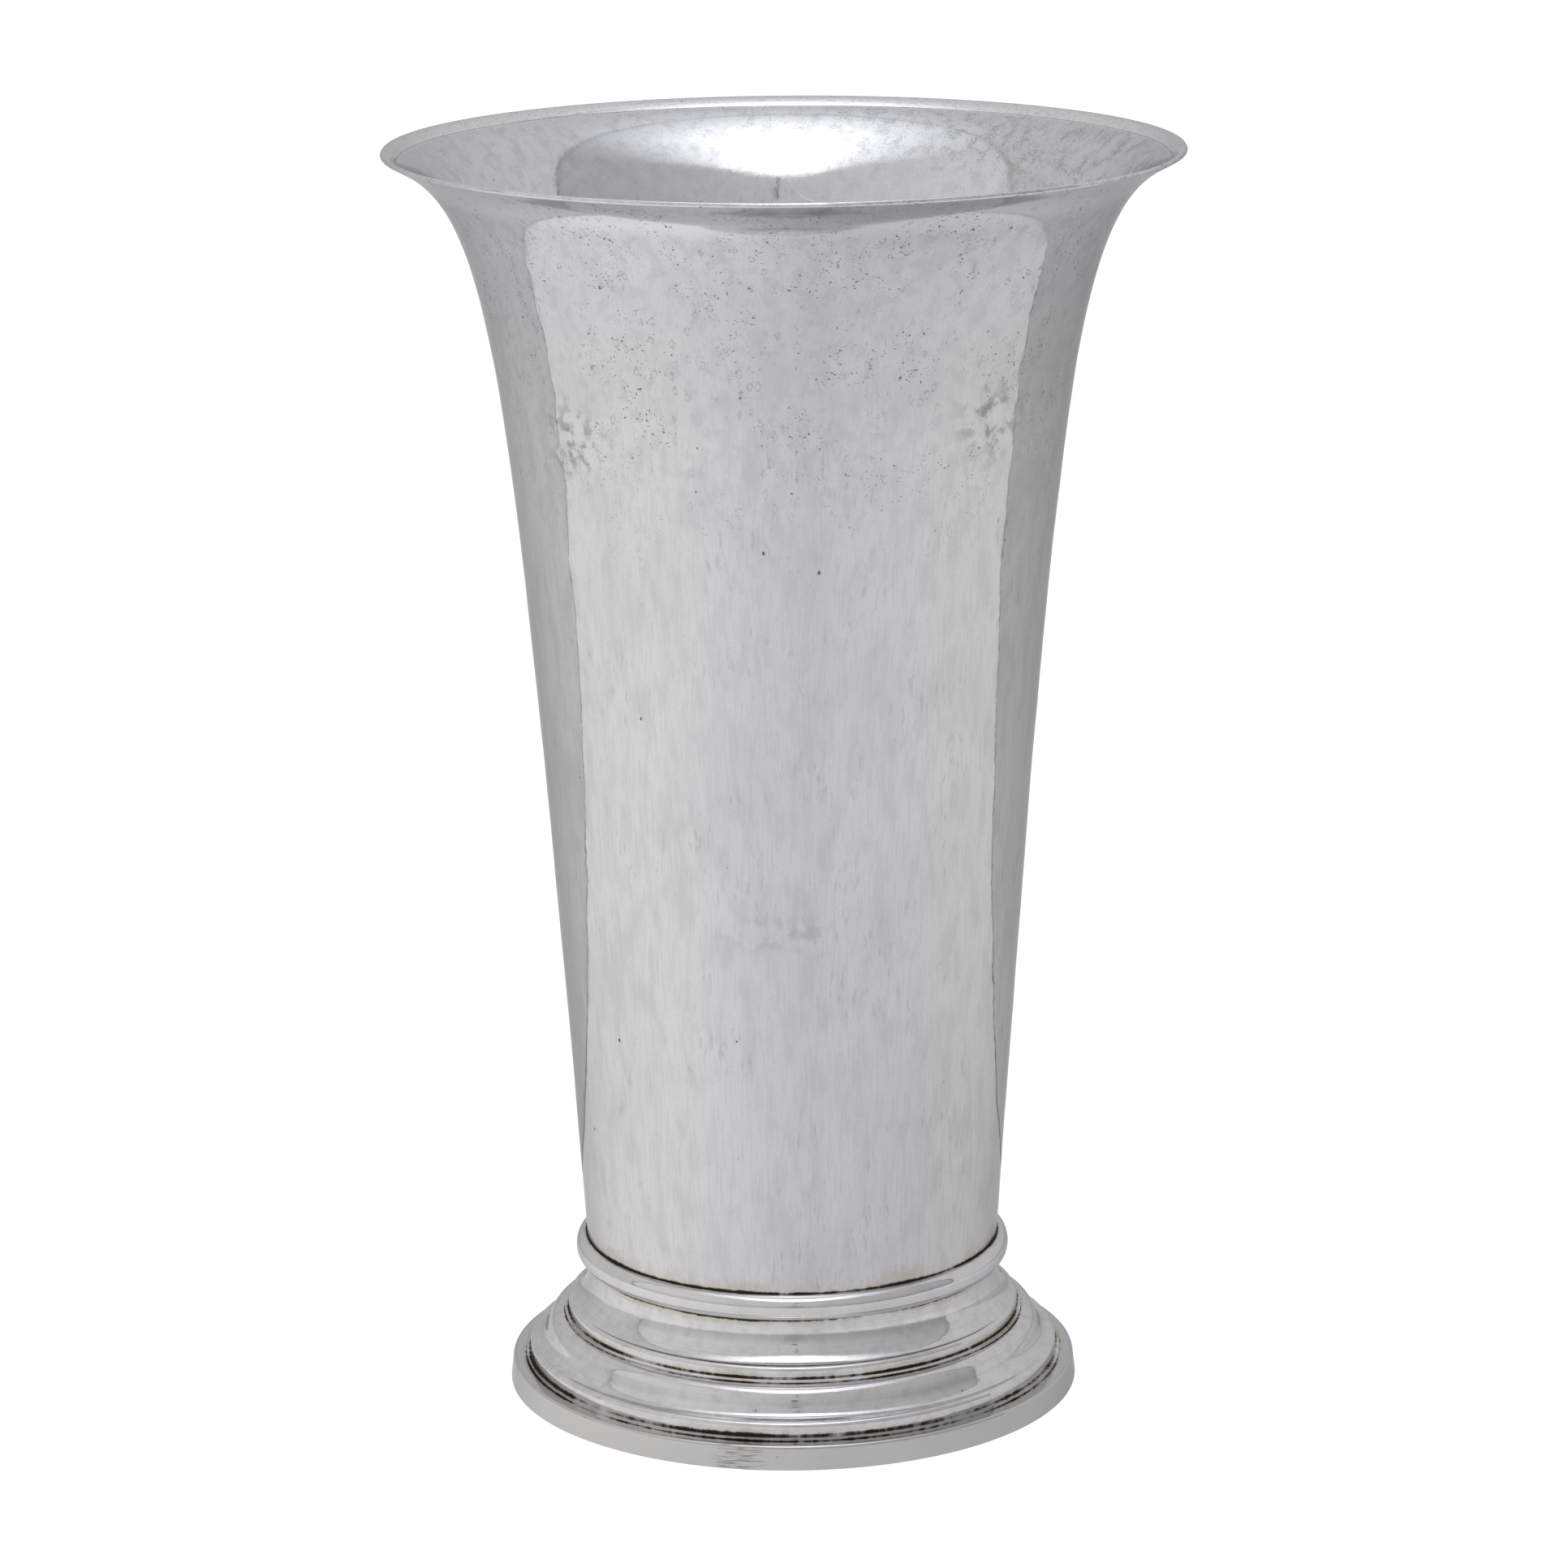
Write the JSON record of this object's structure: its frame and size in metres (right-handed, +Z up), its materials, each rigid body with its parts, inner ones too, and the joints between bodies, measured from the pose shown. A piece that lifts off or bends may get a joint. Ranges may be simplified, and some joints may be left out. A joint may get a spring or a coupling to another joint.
{
  "type": "trumpet vase",
  "caption": "Tall silver flower vase: a gently tapering trumpet with a wide flared mouth, on a low stepped round foot.",
  "frame": {"origin": "centre of the underside of the foot, on the surface that the vase stands on", "axes": "+Z up along the axis that the vase is turned about; -Y towards the viewer of the picture and +X to the viewer's right"},
  "size_m": [0.19, 0.19, 0.305],
  "materials": {
    "body_silver": "old polished silver sheet, planished, with fine scratches, pits and light tarnish",
    "wire_silver": "bright polished silver wire with tarnish along its joints",
    "floor_silver": "unpolished silver, dulled by water",
    "foot_silver": "polished silver sheet with dark tarnish in the corners",
    "band_silver": "satin worn silver with scuffs and small nicks"
  },
  "bodies": {
    "root": {"trumpet_body": "body_silver", "lip_wire": "wire_silver", "body_floor": "floor_silver", "collar_ring": "wire_silver", "foot_upper_stage": "foot_silver", "foot_lower_stage": "foot_silver", "foot_band": "band_silver"}
  },
  "joints": []
}
